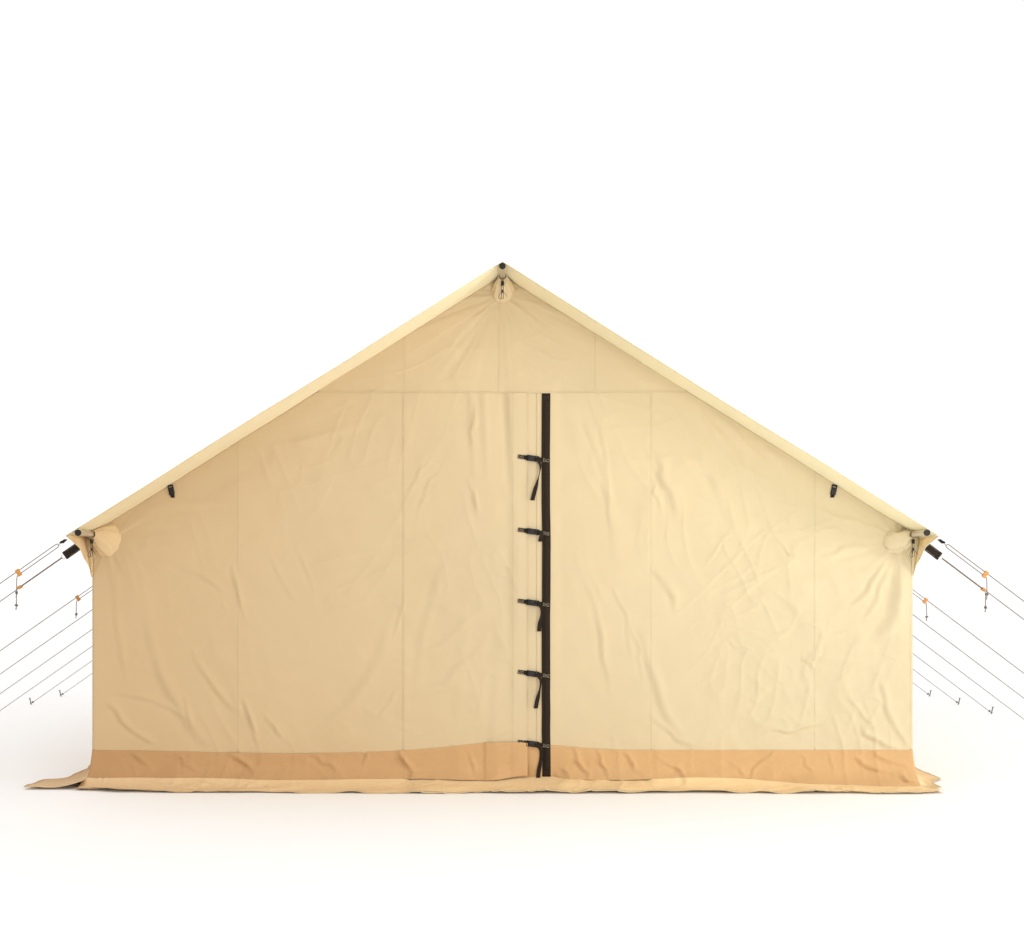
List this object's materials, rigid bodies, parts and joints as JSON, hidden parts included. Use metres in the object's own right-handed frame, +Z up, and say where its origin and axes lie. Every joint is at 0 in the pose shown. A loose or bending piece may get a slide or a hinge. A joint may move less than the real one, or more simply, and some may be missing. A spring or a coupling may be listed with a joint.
{
  "type": "canvas wall tent",
  "caption": "Gable-ended canvas wall tent on an inner tube frame, with a two-leaf strapped and zipped door, sod cloths, eave valances and taut guy ropes on pin stakes.",
  "frame": {"origin": "on the ground, at the centre of the tent's plan", "axes": "+Z up, -Y out through the front gable with the door, +X to the right when looking at that door"},
  "size_m": [9.0638, 6.829, 3.0463],
  "materials": {
    "canvas": "woven cotton duck canvas, cream to sand, matt, with stitched seams and light wrinkles",
    "tan_canvas": "darker tan canvas skirt band, matt, wrinkled",
    "sod_canvas": "sand coloured coated cloth lying on the ground, wavy edge",
    "black_webbing": "woven polyester webbing, black-brown",
    "black_plastic": "moulded acetal, satin black",
    "dark_cord": "braided thin cord, nearly black",
    "guy_rope": "braided guy rope, grey brown",
    "ring_steel": "zinc plated welded ring",
    "tensioner_plastic": "orange brown runner, worn edges",
    "stake_steel": "dark coated steel pin, scuffed",
    "frame_tube": "extruded tube, fine lengthwise lines",
    "fitting_steel": "powder coated welded steel, grey",
    "zip_tape": "woven zip tape, dark brown",
    "zip_brass": "antique brass"
  },
  "bodies": {
    "tent": {"ridge_pole": "frame_tube", "eave_pole_left": "frame_tube", "eave_pole_right": "frame_tube", "rafters": "frame_tube", "legs": "frame_tube", "ridge_connectors": "fitting_steel", "eave_connectors": "fitting_steel", "foot_plates": "fitting_steel", "pole_caps": "black_plastic", "roof_left": "canvas", "roof_right": "canvas", "valance_left": "canvas", "valance_right": "canvas", "side_wall_left": "canvas", "side_wall_right": "canvas", "gable_rear": "canvas", "gable_front_top": "canvas", "gable_front_left": "canvas", "gable_front_right": "canvas", "skirt": "tan_canvas", "sod_cloth_front": "sod_canvas", "sod_cloth_rear": "sod_canvas", "sod_cloth_sides": "sod_canvas", "pole_sleeves": "canvas", "sleeve_drawcords": "dark_cord", "guy_tabs": "black_webbing", "guy_rings": "ring_steel", "gable_buckles": "black_plastic", "guy_ropes_left": "guy_rope", "guy_ropes_right": "guy_rope", "stakes": "stake_steel"},
    "left_leaf": {"door_left": "canvas", "door_left_skirt": "tan_canvas", "socket_straps": "black_webbing", "buckle_sockets": "black_plastic", "zip_tape_left": "zip_tape"},
    "right_leaf": {"door_right": "canvas", "door_right_skirt": "tan_canvas", "binding_tape": "black_webbing", "door_straps": "black_webbing", "strap_tails": "black_webbing", "zip_tape_right": "zip_tape"},
    "zip_slider": {"zip_slider": "zip_brass"},
    "plug_1": {"buckle_plug_1": "black_plastic"},
    "plug_2": {"buckle_plug_2": "black_plastic"},
    "plug_3": {"buckle_plug_3": "black_plastic"},
    "plug_4": {"buckle_plug_4": "black_plastic"},
    "plug_5": {"buckle_plug_5": "black_plastic"},
    "cord_lock_ridge": {"cord_lock_ridge": "black_plastic"},
    "cord_lock_left": {"cord_lock_left": "black_plastic"},
    "cord_lock_right": {"cord_lock_right": "black_plastic"},
    "cord_locks_rear": {"cord_locks_rear": "black_plastic"},
    "tensioner_front_left": {"tensioner_front_left": "tensioner_plastic"},
    "tensioner_front_right": {"tensioner_front_right": "tensioner_plastic"},
    "tensioner_corner_left": {"tensioner_corner_left": "tensioner_plastic"},
    "tensioner_corner_right": {"tensioner_corner_right": "tensioner_plastic"},
    "tensioners_left": {"tensioners_left": "tensioner_plastic"},
    "tensioners_right": {"tensioners_right": "tensioner_plastic"}
  },
  "joints": [
    {"name": "door_left_swing", "type": "hinge", "parent": "tent", "child": "left_leaf", "pos_m": [-0.582, -3.05, 1.2], "axis": [0, 0, -1], "range_deg": [0, 110]},
    {"name": "door_right_swing", "type": "hinge", "parent": "tent", "child": "right_leaf", "pos_m": [0.878, -3.05, 1.2], "axis": [0, 0, 1], "range_deg": [0, 110]},
    {"name": "zip_slide", "type": "slide", "parent": "right_leaf", "child": "zip_slider", "axis": [0, 0, -1], "range_m": [0, 2.15]},
    {"name": "plug_1_release", "type": "slide", "parent": "right_leaf", "child": "plug_1", "axis": [0.9905, 0, -0.1374], "range_m": [0, 0.022]},
    {"name": "plug_2_release", "type": "slide", "parent": "right_leaf", "child": "plug_2", "axis": [0.9905, 0, -0.1374], "range_m": [0, 0.022]},
    {"name": "plug_3_release", "type": "slide", "parent": "right_leaf", "child": "plug_3", "axis": [0.9905, 0, -0.1374], "range_m": [0, 0.022]},
    {"name": "plug_4_release", "type": "slide", "parent": "right_leaf", "child": "plug_4", "axis": [0.9905, 0, -0.1374], "range_m": [0, 0.022]},
    {"name": "plug_5_release", "type": "slide", "parent": "right_leaf", "child": "plug_5", "axis": [0.9905, 0, -0.1374], "range_m": [0, 0.022]},
    {"name": "cord_lock_ridge_slide", "type": "slide", "parent": "tent", "child": "cord_lock_ridge", "axis": [0, 0, 1], "range_m": [-0.022, 0.004]},
    {"name": "cord_lock_left_slide", "type": "slide", "parent": "tent", "child": "cord_lock_left", "axis": [0, 0, 1], "range_m": [-0.022, 0.004]},
    {"name": "cord_lock_right_slide", "type": "slide", "parent": "tent", "child": "cord_lock_right", "axis": [0, 0, 1], "range_m": [-0.022, 0.004]},
    {"name": "cord_locks_rear_slide", "type": "slide", "parent": "tent", "child": "cord_locks_rear", "axis": [0, 0, 1], "range_m": [-0.022, 0.004]},
    {"name": "tensioner_front_left_slide", "type": "slide", "parent": "tent", "child": "tensioner_front_left", "axis": [0.8195, 0, 0.573], "range_m": [0, 0.14]},
    {"name": "tensioner_front_right_slide", "type": "slide", "parent": "tent", "child": "tensioner_front_right", "axis": [-0.7988, 0, 0.6016], "range_m": [0, 0.14]},
    {"name": "tensioner_corner_left_slide", "type": "slide", "parent": "tent", "child": "tensioner_corner_left", "axis": [0.8195, 0, 0.573], "range_m": [0, 0.2]},
    {"name": "tensioner_corner_right_slide", "type": "slide", "parent": "tent", "child": "tensioner_corner_right", "axis": [-0.7988, 0, 0.6016], "range_m": [0, 0.2]},
    {"name": "tensioners_left_slide", "type": "slide", "parent": "tent", "child": "tensioners_left", "axis": [0.8195, 0, 0.573], "range_m": [0, 0.35]},
    {"name": "tensioners_right_slide", "type": "slide", "parent": "tent", "child": "tensioners_right", "axis": [-0.7988, 0, 0.6016], "range_m": [0, 0.35]}
  ]
}
